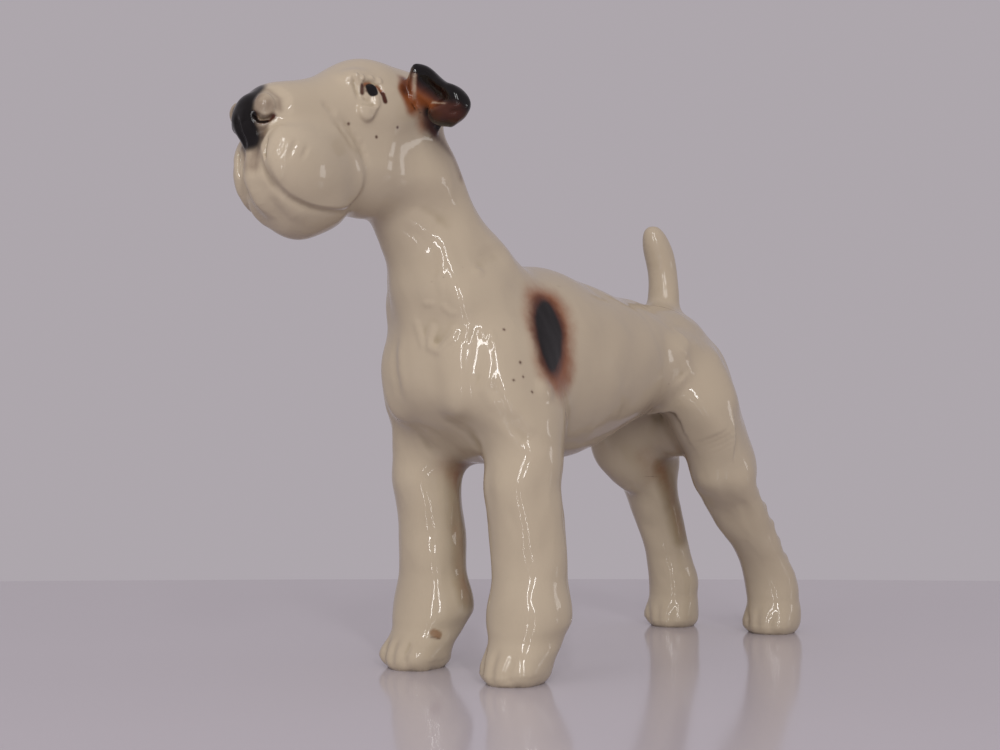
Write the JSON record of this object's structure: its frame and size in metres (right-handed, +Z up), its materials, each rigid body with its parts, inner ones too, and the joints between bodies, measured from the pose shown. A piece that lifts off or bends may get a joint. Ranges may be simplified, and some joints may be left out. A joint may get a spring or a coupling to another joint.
{
  "type": "dog figurine",
  "caption": "Standing wire-haired terrier in glossy cream glazed earthenware, hollow cast, with a square beard, folded ears, an upright tail and a painted flank patch.",
  "frame": {"origin": "middle of the overall length and width, on the surface that the soles stand on", "axes": "the dog faces -X, its left side is -Y, +Z is up"},
  "size_m": [0.2388, 0.0632, 0.1724],
  "materials": {
    "cream_glaze": "glossy cream glaze over earthenware",
    "trunk_glaze": "glossy cream glaze with a brown and black patch on the left flank",
    "head_glaze": "glossy cream glaze with a black nose, black and brown eyes and brown behind the ears",
    "ear_glaze": "glossy glaze over sprayed dark brown"
  },
  "bodies": {
    "root": {"trunk": "trunk_glaze", "head_and_neck": "head_glaze", "tail": "cream_glaze", "left_ear": "ear_glaze", "right_ear": "ear_glaze", "left_foreleg": "cream_glaze", "right_foreleg": "cream_glaze", "left_hindleg": "cream_glaze", "right_hindleg": "cream_glaze"}
  },
  "joints": []
}
